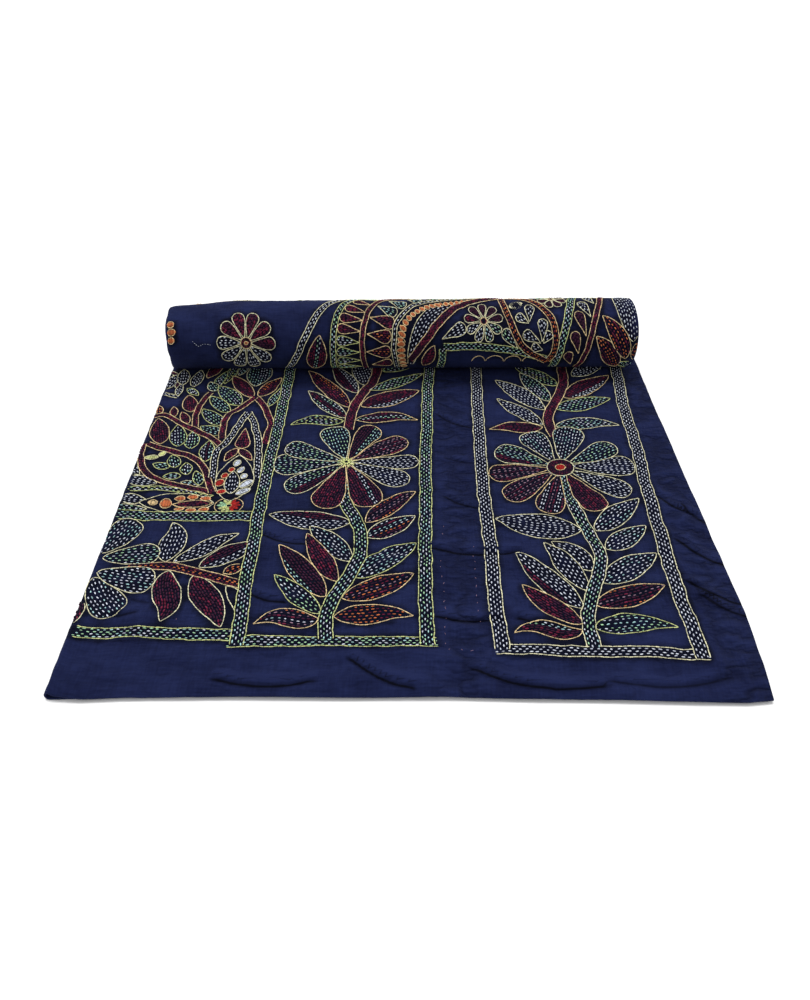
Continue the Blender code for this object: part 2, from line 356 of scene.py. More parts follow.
def makeCloth(densityAt):
    sheet = flatSheet()
    flatPlaces = np.array([vertex.co[:] for vertex in sheet.verts])
    laid = layCloth(flatPlaces[:, 0], flatPlaces[:, 1])
    uv = sheet.loops.layers.uv.new("cloth")
    for face in sheet.faces:
        for loop in face.loops:
            loop[uv].uv = (loop.vert.co.x, loop.vert.co.y)
    for vertex, place in zip(sheet.verts, laid):
        vertex.co = place
    bmesh.ops.triangulate(sheet, faces=[face for face in sheet.faces if len(face.verts) > 4])
    bmesh.ops.recalc_face_normals(sheet, faces=sheet.faces)
    mesh = bpy.data.meshes.new("quiltCloth")
    sheet.to_mesh(mesh)
    sheet.free()
    mesh.shade_smooth()
    cloth = addObject("quiltCloth", mesh)

    fromHem = np.minimum(half - np.abs(flatPlaces[:, 0]), flatPlaces[:, 1])
    fromHem = np.minimum(fromHem, clothLay["length"] - flatPlaces[:, 1])
    hem = cloth.vertex_groups.new(name="hem")
    hem.add([int(i) for i in np.nonzero(fromHem < clothMesh["hemWidth"] + 1e-4)[0]], 1.0, "REPLACE")
    # Masks for the painted shade between the stitches, in the crumples and along the creases, for the painted
    # highlight on the ridges, and for the puckers and crumples of the bump
    shades = {
        "sewn": densityAt, "rumpled": rumpledAt, "ridgeLight": ridgeLightAt,
        "creaseStrength": creaseStrengthAt, "creaseOff": creaseOffAt,
    }
    for name, valueAt in shades.items():
        shade = mesh.attributes.new(name, "FLOAT", "POINT")
        shade.data.foreach_set("value", valueAt(flatPlaces[:, 0], flatPlaces[:, 1]).astype(np.float32))

    wall = cloth.modifiers.new("thickness", "SOLIDIFY")
    wall.thickness, wall.offset, wall.use_even_offset = clothMesh["hemThickness"], 0, True
    wall.vertex_group = "hem"
    wall.thickness_vertex_group = clothMesh["thickness"] / clothMesh["hemThickness"]
    rounding = cloth.modifiers.new("rounded hem", "BEVEL")
    rounding.width, rounding.segments = clothMesh["hemRounding"], 2
    rounding.limit_method, rounding.angle_limit = "ANGLE", math.radians(60)
    return cloth


# Sewing. Every stitch is a row of a, s at its start, a, s at its end, and its width, in mm
threads = {
    "pale": [], "lime": [], "gold": [], "white": [], "green": [],
    "teal": [], "maroon": [], "ruby": [], "rose": [], "orange": [], "red": [],
}
blends = {  # shaded thread, which changes from one colour to the next along a row
    "mint": ("white", "teal", "green"), "frost": ("white", "white", "teal"),
    "leafy": ("green", "teal", "white"), "wine": ("maroon", "ruby", "maroon"),
    "plum": ("maroon", "maroon", "ruby"), "rust": ("orange", "ruby", "orange"),
    "pond": ("teal", "green", "teal"), "snow": ("white",), "spring": ("lime", "green", "white"),
}
fillings = {
    "plain": {"length": 3.8, "gap": 3.7, "width": 1.5}, "close": {"length": 5.2, "gap": 0.5, "width": 2.3},
    "bright": {"length": 3.9, "gap": 2.6, "width": 1.6},
}
rowPitches = {"widths": (16, 26), "pitches": (3.3, 4.4), "darkShare": 0.27}
closeThreads = ("maroon", "plum", "wine")  # sewn close together, so that the ground hardly shows
outlining = {"length": 6.6, "gap": -1.4, "width": 1.25}
sewing = {  # the unevenness of a hand, in mm and in shares
    "shortestLine": 1.5, "shortestStitch": 1.2, "startScatter": 0.12, "astray": 0.10,
    "lengthShares": (0.88, 1.10), "widthShares": (0.86, 1.14),
    "toneStep": 6, "toneWave": 90, "toneScatter": 0.22,
    "rowWander": 0.25, "rowWave": 40, "rowScatter": 0.22, "rowClear": 1.5, "edgesClear": 2.4,
    "rimWander": 0.35, "rimWave": 45, "axisStep": 1.8,
    "bandWander": 0.5, "bandWave": 70, "bandStep": 1.5, "bandUneven": 0.05, "bandUnevenWave": 35,
}
bladeShapes = {  # width along a blade, from its base at 0 to its tip at 1
    "leaf": lambda t: np.sin(math.pi * t**0.85) ** 0.78,
    "hooked": lambda t: np.sin(math.pi * t**0.74) ** 0.95,
    "petal": lambda t: t**0.78 * np.sqrt(1 - t**6) / 0.725,
    "broad": lambda t: t**0.55 * np.sqrt(1 - t**6) / 0.79,
    "drop": lambda t: t**1.05 * np.sqrt(1 - t**6) / 0.75,
}
covered = []  # outlines of the motifs that are already sewn, which later ones pass behind
sewDraw = np.random.default_rng(21)


def inside(points, outline):
    low, high = outline.min(0), outline.max(0)
    result = np.all((points > low) & (points < high), axis=1)
    if not result.any():
        return result
    x, y = points[result, 0][:, None], points[result, 1][:, None]
    x0, y0 = outline[:, 0][None], outline[:, 1][None]
    x1, y1 = np.roll(x0, -1, axis=1), np.roll(y0, -1, axis=1)
    crosses = ((y0 > y) != (y1 > y)) & (x < (x1 - x0) * (y - y0) / (y1 - y0 + 1e-9) + x0)
    result[result] = crosses.sum(1) % 2 == 1
    return result


def smoothPath(points, step=sewing["bandStep"]):  # an even, rounded line through a few points
    points = np.array(points, float)
    if len(points) > 2:
        p = np.array([2 * points[0] - points[1], *points, 2 * points[-1] - points[-2]])
        t = np.linspace(0, 1, 12, endpoint=False)[:, None]
        parts = [
            0.5 * (2 * b + (c - a) * t + (2 * a - 5 * b + 4 * c - d) * t**2 + (3 * b - a - 3 * c + d) * t**3)
            for a, b, c, d in zip(p, p[1:], p[2:], p[3:])
        ]
        points = np.vstack([*parts, points[-1:]])
    run = runAlong(points)
    even = np.linspace(0, run[-1], max(2, round(run[-1] / step) + 1))
    return np.column_stack([np.interp(even, run, points[:, 0]), np.interp(even, run, points[:, 1])])


def unsteady(count, step, wavelength):  # a hand's slow wander along a line, about -1 to 1
    along, fullTurn = np.arange(count) * step, 6.283
    waves = (
        np.sin(along * fullTurn / (wavelength * share) + sewDraw.uniform(0, 6.3)) for share in (1, 0.61, 0.37)
    )
    return sum(waves) / 2


def beside(path, distance):  # the line this far to the left of the path
    way = np.gradient(path, axis=0)
    way /= np.hypot(*way.T)[:, None] + 1e-9
    return path + np.column_stack([-way[:, 1], way[:, 0]]) * np.reshape(distance, (-1, 1))


def sewLine(path, thread, kind=outlining, spread=0.0, start=0.0):
    run = runAlong(path)
    if run[-1] < sewing["shortestLine"]:
        return
    length = min(kind["length"], run[-1] / 5) if kind is outlining else kind["length"]
    period = length + kind["gap"]
    count = max(1, int(run[-1] / period) + 2)
    start = (np.arange(count) - start) * period + sewDraw.normal(0, sewing["startScatter"] + spread, count)
    end = np.minimum(start + length * sewDraw.uniform(*sewing["lengthShares"], count), run[-1])
    start = np.maximum(start, 0)
    keep = end - start > sewing["shortestStitch"]
    start, end = start[keep], end[keep]
    ends = [np.interp(place, run, path[:, axis]) for place in (start, end) for axis in (0, 1)]
    widths = kind["width"] * sewDraw.uniform(*sewing["widthShares"], len(start))
    stitches = np.column_stack([*ends, widths])
    stitches[:, :4] += sewDraw.normal(0, sewing["astray"] + spread, (len(start), 4))
    centre = (stitches[:, :2] + stitches[:, 2:4]) / 2
    for outline in covered:
        shown = ~inside(centre, outline)
        centre, stitches = centre[shown], stitches[shown]
    if not len(stitches):
        return
    colours = blends.get(thread, (thread,))
    tone = unsteady(len(stitches), sewing["toneStep"], sewing["toneWave"]) * 0.5 + 0.5
    tone = tone + sewDraw.normal(0, sewing["toneScatter"], len(stitches))
    choice = np.clip((tone * len(colours)).astype(int), 0, len(colours) - 1)
    for index, colour in enumerate(colours):
        if (choice == index).any():
            threads[colour].append(stitches[choice == index])


def fillRows(axis, halfWidths, fill):  # rows of running stitch side by side, laid like bricks
    widest = halfWidths.max()
    dark = sum(thread in closeThreads for thread in fill) / len(fill)
    pitch = np.interp(2 * widest, rowPitches["widths"], rowPitches["pitches"])
    pitch = pitch * (1 - rowPitches["darkShare"] * dark)
    count = max(1, int((2 * widest - sewing["edgesClear"]) / pitch + 0.35))
    for row in range(count):
        off = (row - (count - 1) / 2) * pitch
        fits = halfWidths > abs(off) + sewing["rowClear"]
        thread = fill[int((row + 0.5) / count * len(fill))]
        if fits.sum() < 3 or thread == "bare":
            continue
        first, last = np.nonzero(fits)[0][[0, -1]]
        kind = fillings["close" if thread in closeThreads else "bright" if thread == "rust" else "plain"]
        wander = sewing["rowWander"] * unsteady(last + 1 - first, sewing["axisStep"], sewing["rowWave"])
        line = beside(axis[first:last + 1], off + wander)
        sewLine(line, thread, kind, sewing["rowScatter"], 0.5 * (row % 2) + 0.1)


def motif(axis, halfWidths, fill, edge):
    wander = sewing["rimWander"] * unsteady(len(axis), sewing["axisStep"], sewing["rimWave"])
    left, right = beside(axis, halfWidths + wander), beside(axis, wander - halfWidths)
    sewLine(left, edge)
    sewLine(right[::-1], edge)
    fillRows(axis, halfWidths, fill.split())
    covered.append(np.vstack([left, right[::-1]]))


def heading(degrees):
    return np.array([math.cos(math.radians(degrees)), math.sin(math.radians(degrees))])


def between(base, tip):  # both ends as arrays, how far apart they are, the way along and the way to the left
    base, tip = np.array(base, float), np.array(tip, float)
    reach = np.hypot(*(tip - base))
    way = (tip - base) / reach
    return base, tip, reach, way, np.array([-way[1], way[0]])


def blade(base, tip, width, fill, edge, bend=0.0, sway=0.0, shape="leaf"):
    base, tip, reach, way, side = between(base, tip)
    t = np.linspace(0, 1, max(12, round(reach / sewing["axisStep"])))
    off = bend * np.sin(math.pi * t) + sway * np.sin(2 * math.pi * t)
    axis = base + t[:, None] * (tip - base) + side * off[:, None]
    motif(axis, width / 2 * bladeShapes[shape](t), fill, edge)


def band(points, width, fill, edge):
    path, step = smoothPath(points), sewing["bandStep"]
    path = beside(path, sewing["bandWander"] * unsteady(len(path), step, sewing["bandWave"]))
    uneven = sewing["bandUneven"] * unsteady(len(path), step, sewing["bandUnevenWave"])
    motif(path, width / 2 * (1 + uneven), fill, edge)


def ring(centre, radii, thread, kind=outlining, turn0=0, turn1=360):
    turns = np.radians(np.linspace(turn0, turn1, 40))
    path = np.array(centre) + np.column_stack([np.cos(turns) * radii[0], np.sin(turns) * radii[1]])
    sewLine(path, thread, kind)
    return path


flowerCore = {  # sizes in mm, and shares of the core's radius
    "dot": {"length": 2.4, "gap": 0.1, "width": 1.4}, "dotStart": 0.9, "dotShare": 0.36, "dotStep": 1.2,
    "dotHeight": 0.8, "dotRim": (0.40, 0.34),
    "fill": {"length": 2.8, "gap": 0.6, "width": 1.5}, "fillShare": 0.42, "fillClear": 1.6, "fillStep": 2.3,
    "petalStart": 0.8,
}
satinStitch = {"gap": 3, "width": 1.25, "start": 1.0, "endClear": 0.6, "step": 1.4, "rim": 0.9}


def flower(centre, core, coreFill, coreEdge, dot, petals):
    # petals: angle, reach, width, fill, edge
    centre = np.array(centre, float)
    if dot:
        for radius in np.arange(flowerCore["dotStart"], core * flowerCore["dotShare"], flowerCore["dotStep"]):
            ring(centre, (radius, radius * flowerCore["dotHeight"]), dot, flowerCore["dot"])
        covered.append(ring(centre, [core * share for share in flowerCore["dotRim"]], "gold"))
    fillStart = core * flowerCore["fillShare"] + flowerCore["fillClear"]
    for radius in np.arange(fillStart, core - 1.0, flowerCore["fillStep"]):
        ring(centre, (radius, radius), coreFill, flowerCore["fill"])
    covered.append(ring(centre, (core, core), coreEdge))
    for angle, reach, width, fill, edge in petals:
        way = heading(angle)
        base = centre + way * core * flowerCore["petalStart"]
        blade(base, centre + way * reach, width, fill, edge, shape="petal")


def satin(base, tip, width, thread, edge=None):  # a small shape filled with stitches side by side
    base, tip, reach, way, side = between(base, tip)
    for place in np.arange(satinStitch["start"], reach - satinStitch["endClear"], satinStitch["step"]):
        spread = width / 2 * math.sin(math.pi * place / reach) ** 0.6
        across = np.array([base + way * place - side * spread, base + way * place + side * spread])
        sewLine(across, thread, {**satinStitch, "length": 2 * spread})
    if edge:
        t = np.linspace(0, 1, 16)
        axis = base + t[:, None] * (tip - base)
        profile = (width / 2 + satinStitch["rim"]) * np.sin(math.pi * t) ** 0.55
        outline = np.vstack([beside(axis, profile), beside(axis, -profile)[::-1]])
        sewLine(outline, edge)
        covered.append(outline)


def middlePanel():
    centre = np.array((296, 379))
    for angle in range(10, 370, 40):  # short rays from the flower's heart
        way = heading(angle)
        sewLine(np.array([centre + way * 2, centre + way * 13]), "lime", fillings["close"])
    flower(centre, 8, "lime", "lime", None, [
        (108, 84, 42, "pond", "pale"), (66, 90, 36, "pond pond maroon maroon", "gold"),
        (31, 98, 36, "wine rose wine rose wine rose wine", "gold"), (0, 101, 31, "snow", "pale"),
        (-28, 97, 38, "snow", "pale"), (-67, 99, 42, "plum plum plum plum frost plum plum", "gold"),
        (-106, 98, 42, "wine", "gold"), (-143, 98, 36, "mint mint wine", "pale"),
        (159, 94, 34, "mint", "pale"), (-177, 101, 44, "leafy mint", "pale"),
    ])
    band([(289, 70), (287, 105), (296, 134), (318, 184), (323, 215), (317, 255), (299, 296), (294, 335)],
         16.5, "mint", "lime")
    band([(295, 452), (299, 500), (313, 548), (330, 588), (334, 652)], 15, "plum", "gold")
    band([(191, 62), (190, 120), (187.5, 160), (189, 220), (187, 280), (188.5, 380), (191, 460), (192, 540),
          (194, 652)], 16, "mint", "lime")
    band([(402, 62), (401.5, 130), (402.5, 210), (405, 300), (406.5, 390), (410.5, 470), (413, 555),
          (421, 652)], 16, "mint", "lime")
    band([(180, 67), (300, 67), (413, 67)], 14, "leafy", "lime")
    for leaf in (
        ((279, 100), (205, 92), 27, "rust rose wine frost rose wine", "gold", -5.8, 4.5, "hooked"),
        ((281, 108), (221, 166), 25, "leafy mint", "lime", 0.5),
        ((285, 133), (221, 217), 31, "maroon maroon maroon pond", "gold", 1),
        ((297, 155), (254, 237), 26, "wine", "gold", 2),
        ((311, 186), (256, 250), 31, "frost", "pale", -3),
        ((308, 257), (201, 273), 35, "wine snow snow", "pale", 3),
        ((296, 103), (387, 104), 29, "rust", "gold", 4, -1.6, "hooked"),
        ((304, 130), (388, 167), 31, "rust wine rust rose rust wine rust", "gold", -1),
        ((318, 163), (392, 220), 34, "frost", "lime", 1),
        ((329, 231), (391, 268), 31, "rose wine rust frost wine frost", "pale"),
        ((327, 257), (392, 315), 28, "rust wine rose wine rust", "gold", 4),
        ((287, 475), (208, 467), 23, "spring", "lime", -5, 3, "hooked"),
        ((290, 482), (227, 554), 27, "leafy wine leafy", "pale"),
        ((294, 510), (223, 612), 28, "rust wine", "gold"),
        ((303, 547), (262, 628), 29, "snow wine", "pale"),
        ((319, 567), (300, 648), 33, "snow", "pale"),
        ((304, 477), (397, 477), 24, "wine mint wine", "gold", 7, -2.5, "hooked"),
        ((311, 511), (400, 554), 39, "snow wine wine", "gold"),
        ((322, 556), (407, 603), 24, "leafy", "lime", -4),
        ((342, 610), (406, 644), 26, "leafy", "lime"),
    ):
        blade(*leaf)


def rightPanel():
    flower((593, 366), 18.5, "wine", "pale", "red", [
        (73, 95, 45, "frost", "pale"), (30, 98, 35, "pond leafy", "pale"),
        (2, 104, 43, "snow", "pale"), (-32, 102, 37, "snow", "pale"),
        (-66, 98, 38, "plum", "gold"), (-108, 98, 38, "wine white wine rose wine white wine", "gold"),
        (-142, 103, 38, "wine rose wine rose wine rose wine", "gold"),
        (-172, 101, 36, "wine rose wine rose wine", "gold"),
        (156, 95, 40, "leafy pond wine", "pale"), (115, 88, 40, "frost", "pale"),
    ])
    band([(585, 58), (584.5, 88), (590, 117), (601, 146), (613, 176), (617, 200), (612, 232), (602, 272),
          (594, 310), (593, 350)], 15.5, "mint", "pale")
    band([(596, 435), (591, 458), (591, 475), (597, 500), (607, 520), (621, 552), (629, 582), (634, 652)],
         15, "plum", "gold")
    band([(484, 56), (482.5, 130), (484, 230), (482.5, 300), (484.5, 400), (487, 480), (490, 560),
          (495, 652)], 16.5, "snow", "pale")
    band([(701.5, 44), (699, 110), (698.5, 170), (700.5, 250), (702, 320), (708, 400), (709.5, 500),
          (714.5, 560), (722, 652)], 16.5, "snow", "pale")
    band([(476, 56.5), (520, 56), (570, 53), (640, 53), (709, 48)], 13, "snow", "pale")
    for leaf in (
        ((577, 85), (499, 79), 23, "leafy wine wine", "gold", -3, 6, "hooked"),
        ((579, 92), (516, 151), 27, "plum", "gold", 3),
        ((583, 115), (514, 204), 33, "snow snow wine", "pale", 1.5),
        ((592, 142), (551, 221), 28, "snow", "pale", -2),
        ((604, 173), (561, 223), 28, "snow", "pale", -4),
        ((602, 243), (494, 264), 43, "snow", "pale", 3),
        ((591, 88), (684, 85), 29, "mint", "lime", 6.5, -2, "hooked"),
        ((598, 119), (685, 149), 31, "rust wine rose wine rust", "gold"),
        ((613, 155), (688, 203), 34, "frost", "pale"),
        ((626, 208), (685, 250), 30, "frost", "pale"),
        ((619, 242), (687, 300), 31, "frost", "pale"),
        ((581, 459), (501, 452), 24, "plum", "gold", -3, 2, "hooked"),
        ((581, 464), (519, 532), 26, "snow", "pale"),
        ((589, 501), (521, 582), 33, "snow", "pale", -2),
        ((600, 523), (562, 603), 29, "leafy", "pale"),
        ((617, 566), (556, 626), 30, "spring", "lime"),
        ((600, 463), (694, 461), 29, "mint", "pale", 6, -3, "hooked"),
        ((606, 503), (694, 531), 31, "mint", "lime"),
        ((623, 533), (704, 594), 35, "snow wine wine", "gold"),
        ((644, 592), (706, 642), 31, "snow", "pale"),
    ):
        blade(*leaf)


def cornerPanel():
    for base, tip, width, fill, bend in (
        ((8, 192), (75, 205), 37, "mint", 1), ((8, 169), (79, 156), 42, "frost", -1),
        ((6, 160), (48, 105), 44, "frost", -3), ((2, 200), (32, 262), 42, "frost", 0),
    ):
        blade(base, tip, width, fill, "pale", bend, shape="broad")
    blade((-6, 130), (4, 90), 22, "wine", "pale")
    band([(42, 178.5), (75, 181), (92, 181), (123, 173), (150, 163), (184, 152)],
         12, "wine rust wine", "gold")
    band([(-2, 78), (40, 78), (72, 81), (100, 79.5), (130, 78), (184, 75)], 14, "mint", "lime")
    band([(-2, 272), (90, 270), (184, 270)], 17, "leafy", "lime")
    for leaf in (
        ((86, 188), (81, 256), 33, "snow", "pale", -4.5, 3),
        ((95, 188), (168, 238), 22, "snow", "pale"),
        ((127, 181), (196, 222), 28, "snow wine", "pale"),
        ((159, 169), (183, 183), 14, "rust", "gold"),
        ((93, 174), (100, 94), 33, "plum", "pale", 3, -4),
        ((124, 167), (169, 86), 33, "plum", "pale", 2, -1.5),
        ((166, 150), (192, 98), 18, "bare", "pale", 5),
    ):
        blade(*leaf)


def fieldBeads():
    for centre, long, tall in (
        ((62, 295), 16, 17), ((80, 304), 15, 8), ((97, 306), 15, 8), ((114, 303), 15, 8),
        ((82, 285), 15, 6), ((98, 281.5), 15, 6), ((115, 282.5), 15, 6),
    ):
        satin((centre[0] - long / 2, centre[1]), (centre[0] + long / 2, centre[1]), tall, "orange", "gold")
    satin((38, 297), (52, 296), 9, "gold", "gold")
    blade((124, 293), (70, 294), 13, "wine", "gold")
    blade((126, 293), (26, 297), 37, "bare", "pale")
    for base, tip, wide, thread in (
        ((137, 358), (141, 368), 8, "red"), ((128, 345), (134, 356), 9, "red"),
        ((121, 331), (131, 342), 11, "red"), ((125, 316), (137, 321), 9, "red"),
        ((141, 370), (147, 384), 9, "white"), ((149, 355), (155, 368), 8, "white"),
        ((154, 344), (161, 354), 8, "white"), ((154, 327), (171, 341), 10, "white"),
        ((151, 313), (170, 324), 10, "white"),
    ):
        satin(base, tip, wide, thread, "gold" if thread == "red" else "pale")
    blade((144, 314), (142, 360), 21, "snow", "pale")
    blade((146, 300), (145, 394), 52, "bare", "pale")
    centre, rayTurn = np.array((146, 290)), 0.5236
    rays = "red red red lime lime green green lime lime lime red red".split()
    for step, thread in enumerate(rays):
        way = np.array([math.cos(step * rayTurn), 0.85 * math.sin(step * rayTurn)])
        satin(centre + way * 3, centre + way * 16, 6, thread)
    ring(centre, (4, 4), "lime")
    covered.append(ring(centre, (19, 16), "gold"))


def fieldBranches():
    band([(143, 496), (135, 472), (122, 426), (111, 396), (115, 345)], 10, "snow", "pale")
    band([(143, 496), (153, 474), (163, 440), (170, 405), (176, 345)], 10, "snow", "pale")
    blade((144, 458), (145, 410), 24, "plum", "gold", 0, 0, "drop")
    blade((140, 410), (125, 382), 13, "wine", "gold")
    blade((142, 410), (164, 382), 13, "wine", "gold")
    band([(113, 432), (110, 470), (116, 494), (130, 510), (147, 538)], 9.5, "plum", "gold")
    band([(147, 538), (163, 514), (174, 488), (180, 462), (176, 420)], 9.5, "plum", "gold")
    band([(2, 487), (15, 493), (31, 483), (52, 466), (72, 452), (97, 435), (114, 416)], 9, "plum", "gold")
    band([(70, 457), (66, 480), (65, 505), (68, 530), (76, 552)], 9, "plum", "gold")
    band([(119, 315), (111, 337), (104, 358), (92, 378), (71, 394), (53, 402), (30, 411), (9, 420)],
         9, "wine", "gold")
    band([(119, 313), (107, 320), (91, 324), (70, 330), (52, 337), (33, 347), (20, 360), (12, 374), (5, 396),
          (3, 420)], 9, "plum", "gold")
    band([(-2, 322), (40, 324), (80, 318), (122, 305)], 8, "spring", "lime")


def fieldLeaves():
    satin((12, 389), (33, 390), 9, "lime", "pale")
    satin((33, 391), (38, 405), 8, "lime", "pale")
    for leaf in (
        ((60, 367), (50, 396), 19, "pond mint", "lime"), ((52, 367), (27, 374), 15, "pond", "lime"),
        ((79, 352), (73, 378), 17, "leafy", "lime"), ((71, 350), (46, 350), 14, "mint", "lime"),
        ((100, 331), (90, 360), 15, "pond", "lime"), ((100, 330), (73, 337), 13, "frost", "pale"),
        ((27, 420), (11, 482), 28, "plum", "gold"), ((54, 414), (42, 468), 25, "pond frost", "lime"),
        ((73, 408), (68, 452), 22, "leafy", "lime"), ((99, 380), (96, 428), 21, "pond wine frost", "lime"),
        ((56, 499), (43, 543), 23, "plum", "gold"), ((57, 470), (42, 500), 14, "plum", "gold"),
        ((33, 488), (27, 514), 12, "plum", "gold"), ((10, 494), (4, 516), 12, "rust", "gold"),
        ((111, 443), (77, 461), 21, "pond", "lime"), ((109, 464), (72, 507), 24, "mint leafy", "lime"),
        ((114, 497), (76, 541), 21, "pond", "lime"), ((127, 515), (86, 569), 29, "leafy", "lime"),
        ((143, 537), (103, 598), 24, "plum", "gold"), ((151, 539), (182, 590), 23, "wine rust", "gold"),
        ((144, 568), (146, 648), 40, "frost pond", "pale"), ((171, 510), (184, 562), 14, "leafy", "lime"),
        ((38, 562), (58, 542), 14, "leafy", "lime"), ((46, 566), (50, 616), 19, "snow", "pale"),
        ((28, 572), (22, 618), 20, "snow", "pale"), ((84, 556), (70, 580), 18, "pond", "pale"),
        ((80, 560), (92, 612), 15, "leafy", "lime"), ((94, 574), (106, 640), 16, "spring", "lime"),
        ((64, 590), (82, 648), 20, "wine", "gold"), ((112, 600), (126, 648), 15, "leafy", "pale"),
        ((-2, 344), (42, 334), 22, "snow", "pale"), ((-4, 372), (14, 352), 15, "snow", "pale"),
        ((-4, 306), (36, 300), 20, "snow", "pale"), ((-4, 286), (40, 284), 14, "mint", "pale"),
        ((26, 540), (26, 578), 12, "snow", "pale"), ((2, 560), (14, 600), 20, "snow", "pale"),
    ):
        blade(*leaf)
    band([(-2, 612), (14, 596), (22, 566)], 8, "plum", "pale")
    band([(-2, 548), (14, 542), (28, 538)], 7, "snow", "pale")


strayStitch = {"length": 2.6, "gap": 10, "width": 0.5, "scatter": 0.8}


def strayStitches():  # short, faint tacking stitches left in the plain ground
    for path in (
        [(422, 62), (423, 128), (420, 190)], [(462, 96), (461, 220)], [(424, 236), (428, 256)],
        [(104, 160), (110, 128), (118, 96)], [(424, 56), (456, 54)],
    ):
        sewLine(smoothPath(path), "rose", strayStitch, strayStitch["scatter"])


def setOnCloth(stitches):  # from places on the table to places on the folded cloth
    onCloth = stitches.copy()
    for a, s in ((0, 1), (2, 3)):
        wide = 1 + np.interp(stitches[:, s] * mm, *zip(*clothLay["sideLine"])) / half
        reach = np.interp(stitches[:, a] * mm, *zip(*clothLay["frontLine"])) / mm
        fade = 1 - ease(stitches[:, s] * mm / clothLay["frontLineFade"])
        onCloth[:, a], onCloth[:, s] = stitches[:, a] / wide, stitches[:, s] + reach * fade
    return onCloth[np.maximum(onCloth[:, 1], onCloth[:, 3]) < stretches["apronEnd"]]


def takeThreads():  # everything sewn so far, and empty spools for the next stretch
    taken = {name: np.vstack(rows) for name, rows in threads.items() if rows}
    for rows in threads.values():
        rows.clear()
    covered.clear()
    return taken


# Which stretch of the cloth the stitches of each face keep to, and how the roll's are fitted, in mm
stretches = {
    "apronEnd": 652, "rollEnd": 926, "underEnd": 640, "hemsClear": (0.5, 1),
    "rollStart": 7.9, "rollShare": 0.9876,
}

print("sewing the apron")
middlePanel()
rightPanel()
cornerPanel()
fieldBeads()
fieldBranches()
fieldLeaves()
strayStitches()
apronStitches = takeThreads()


looseStitch = {"length": 1.6, "gap": 2.4, "width": 0.8}


def rollFlowers():
    # On the roll a counts along its length from the left end, and s runs on over its back, top and front
    for place, reach in ((836, 8), (849, 10), (862, 7)):
        satin((-6, place), (reach, place), 10, "orange", "gold")
    sewLine(smoothPath([(36, 864), (45, 872), (55, 869), (68, 871)]), "white", looseStitch)
    flower((124, 869), 9, "wine", "gold", "orange", [
        (angle, 48, 20, "snow" if 20 < angle < 200 else "wine", "pale") for angle in range(-106, 254, 36)
    ])
    fills = "maroon maroon maroon leafy leafy snow snow wine maroon".split()
    flower((512, 839), 6, "wine", "gold", None, [
        (-90 + 40 * step, 32, 14, fill, "pale") for step, fill in enumerate(fills)
    ])
    flower((629, 792), 5, "wine", "gold", None, [
        (-70 + 45 * step, 25, 14, "maroon" if step < 6 else "pond", "pale") for step in range(8)
    ])


def rollPaisley():
    # Bands one inside another, which start at the crease, climb over the roll and meet in a curled tip
    for points, width, fill, edge in (
        ([(188, 930), (206, 890), (230, 845), (262, 802), (312, 762), (384, 730), (470, 722), (560, 726)],
         10, "snow", "pale"),
        ([(268, 925), (265, 881), (266, 863), (274, 829), (294, 794), (325, 768), (372, 751), (450, 742),
          (540, 742)], 9, "leafy", "lime"),
        ([(321, 925), (314, 888), (313, 866), (323, 827), (351, 789), (394, 772), (440, 764), (480, 760),
          (560, 756)], 8, "wine", "gold"),
        ([(374, 925), (366, 888), (365, 868), (371, 840), (396, 812), (425, 798), (460, 789), (500, 782),
          (560, 768)], 7, "snow", "pale"),
    ):
        band(points, width, fill, edge)
    band([(392, 900), (418, 865), (452, 828), (492, 802), (545, 782), (600, 752)], 12, "wine", "gold")
    beadStep = 9.3
    outer = [(378, 918), (371, 890), (371, 862), (378, 841), (400, 821), (430, 806), (490, 793)]
    inner = [(391, 918), (386, 889), (385, 862), (391, 843), (409, 826), (435, 816), (492, 807)]
    outer, inner = smoothPath(outer, beadStep), smoothPath(inner, beadStep)
    for one, two in zip(outer, inner[np.linspace(0, len(inner) - 1, len(outer)).round().astype(int)]):
        satin(one, one + (two - one) * 0.94, 7.2, "orange", "gold")
    path = smoothPath([(394, 910), (398, 880), (409, 853), (426, 832), (449, 817), (482, 805), (520, 797)])
    motif(path, 13 * np.sin(math.pi * np.linspace(0.08, 0.98, len(path)) ** 0.9), "snow", "pale")
    for one, two, thread in (
        ((321, 824), (288, 812), "wine"), ((316, 837), (278, 831), "wine"), ((311, 853), (273, 848), "wine"),
        ((309, 869), (271, 866), "leafy"), ((309, 884), (271, 884), "leafy"),
        ((311, 900), (272, 901), "leafy"), ((314, 917), (274, 918), "leafy"),
        ((330, 808), (303, 793), "wine"), ((346, 790), (324, 774), "leafy"),
        ((374, 777), (358, 760), "wine"), ((404, 768), (395, 752), "leafy"),
        ((436, 762), (430, 747), "wine"),
    ):
        blade(one, two, 17, thread, "gold" if thread == "wine" else "lime", shape="drop")
    for one, two, thread in (
        ((327, 832), (367, 842), "wine"), ((321, 857), (361, 862), "wine rust wine"),
        ((320, 884), (361, 885), "wine rust wine"), ((330, 911), (364, 906), "wine"),
        ((341, 811), (372, 826), "pond"), ((361, 796), (388, 811), "pond"),
        ((392, 786), (414, 798), "pond"), ((424, 777), (444, 790), "pond"), ((458, 771), (475, 783), "leafy"),
    ):
        blade(one, two, 23, thread, "pale" if thread in ("pond", "leafy") else "gold", shape="drop")
    blade((234, 925), (244, 858), 32, "wine leafy wine", "gold")
    blade((416, 914), (431, 874), 20, "plum", "gold")
    blade((443, 865), (482, 846), 22, "snow", "pale", shape="drop")
    blade((568, 881), (543, 852), 18, "leafy", "pale", shape="drop")


